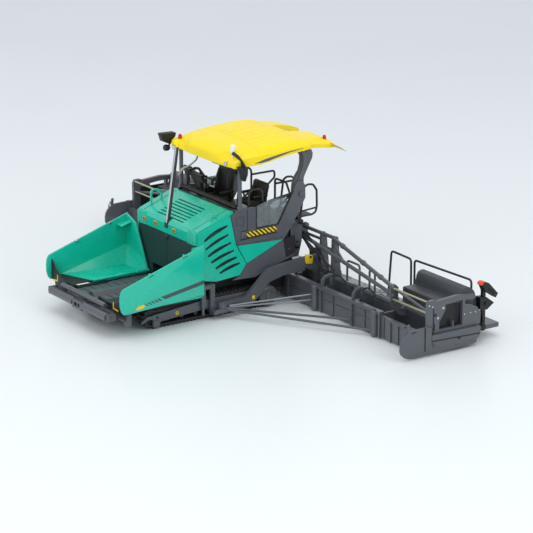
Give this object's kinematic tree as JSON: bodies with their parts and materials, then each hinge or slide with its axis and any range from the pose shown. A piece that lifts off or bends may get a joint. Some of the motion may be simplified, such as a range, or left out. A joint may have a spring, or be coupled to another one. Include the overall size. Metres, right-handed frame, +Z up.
{
  "type": "asphalt paver scale model",
  "caption": "Tracked road paver model with a folding hopper, a canopied operator platform and a very wide rear screed with end gates",
  "frame": {"origin": "middle of the underside of the whole model, on the ground plane of the tracks", "axes": "X forward in the direction of travel, Y to the left, Z up"},
  "size_m": [0.146, 0.2472, 0.0766],
  "materials": {
    "green_paint": "gloss",
    "grey_paint": "satin",
    "black_paint": "satin",
    "canopy_yellow": "gloss",
    "hazard_stripe": "gloss",
    "steel_bright": "polished",
    "brass_rod": "satin",
    "track_plastic": "matte",
    "black_plastic": "matte",
    "clear_plastic": "clear",
    "white_plastic": "gloss",
    "red_plastic": "gloss"
  },
  "bodies": {
    "tractor": {"track_left": "track_plastic", "track_right": "track_plastic", "track_frames": "grey_paint", "chassis_frame": "black_paint", "conveyor_floor": "grey_paint", "body_core": "black_paint", "hopper_rear_wall": "black_paint", "hood": "green_paint", "hood_eyes": "green_paint", "side_panels": "green_paint", "side_bodies": "grey_paint", "side_wedges": "green_paint", "hazard_strips": "hazard_stripe", "side_windows": "clear_plastic", "operator_platform": "grey_paint", "windscreen_roll": "black_plastic", "operator_seat_right": "black_plastic", "operator_seat_left": "black_plastic", "control_console": "black_plastic", "platform_rails": "black_paint", "rear_steps": "black_paint", "exhaust_stack": "steel_bright", "canopy_roof": "canopy_yellow", "canopy_front_posts": "black_paint", "canopy_rear_posts": "black_paint", "canopy_lamps": "black_plastic", "beacon": "white_plastic", "marker_lamps": "red_plastic", "mirror_arm": "black_paint", "front_bumper": "black_paint", "tow_guides": "grey_paint", "auger_tunnels": "grey_paint", "auger_drive": "grey_paint", "guy_rods": "black_paint"},
    "wing_left": {"hopper_wing_left": "green_paint", "hopper_apron_left": "black_plastic"},
    "wing_right": {"hopper_wing_right": "green_paint", "hopper_apron_right": "black_plastic"},
    "push_bar": {"push_bar": "black_paint"},
    "roller_left": {"push_roller_left": "grey_paint"},
    "roller_right": {"push_roller_right": "grey_paint"},
    "auger_left": {"auger_left": "grey_paint"},
    "auger_right": {"auger_right": "grey_paint"},
    "screed": {"tow_arms": "grey_paint", "screed_base": "grey_paint", "screed_sections_inner": "grey_paint", "screed_sections_middle": "grey_paint", "screed_sections_outer": "grey_paint", "sole_plates": "black_paint", "screed_truss": "grey_paint", "end_gates": "grey_paint", "end_frames": "grey_paint", "gate_spindles": "brass_rod", "screed_rails": "black_paint", "screed_walkway": "grey_paint", "control_stands": "black_plastic"}
  },
  "joints": [
    {"name": "wing_left_fold", "type": "hinge", "parent": "tractor", "child": "wing_left", "pos_m": [0.046, 0.0143, 0.014], "axis": [1, 0, 0], "range_deg": [0, 40]},
    {"name": "wing_right_fold", "type": "hinge", "parent": "tractor", "child": "wing_right", "pos_m": [0.046, -0.0143, 0.014], "axis": [-1, 0, 0], "range_deg": [0, 40]},
    {"name": "push_bar_swing", "type": "hinge", "parent": "tractor", "child": "push_bar", "pos_m": [0.0682, 0, 0.0095], "axis": [0, 0, 1], "range_deg": [-3, 3]},
    {"name": "roller_left_spin", "type": "hinge", "parent": "push_bar", "child": "roller_left", "pos_m": [0.0711, 0.0144, 0.0095], "axis": [0, 1, 0], "continuous": true},
    {"name": "roller_right_spin", "type": "hinge", "parent": "push_bar", "child": "roller_right", "pos_m": [0.0711, -0.0144, 0.0095], "axis": [0, 1, 0], "continuous": true},
    {"name": "auger_left_turn", "type": "hinge", "parent": "tractor", "child": "auger_left", "pos_m": [-0.033, 0.047, 0.0052], "axis": [0, 1, 0], "continuous": true},
    {"name": "auger_right_turn", "type": "hinge", "parent": "tractor", "child": "auger_right", "pos_m": [-0.033, -0.047, 0.0052], "axis": [0, 1, 0], "continuous": true},
    {"name": "screed_lift", "type": "hinge", "parent": "tractor", "child": "screed", "pos_m": [0.014, 0, 0.005], "axis": [0, 1, 0], "range_deg": [0, 5]}
  ]
}
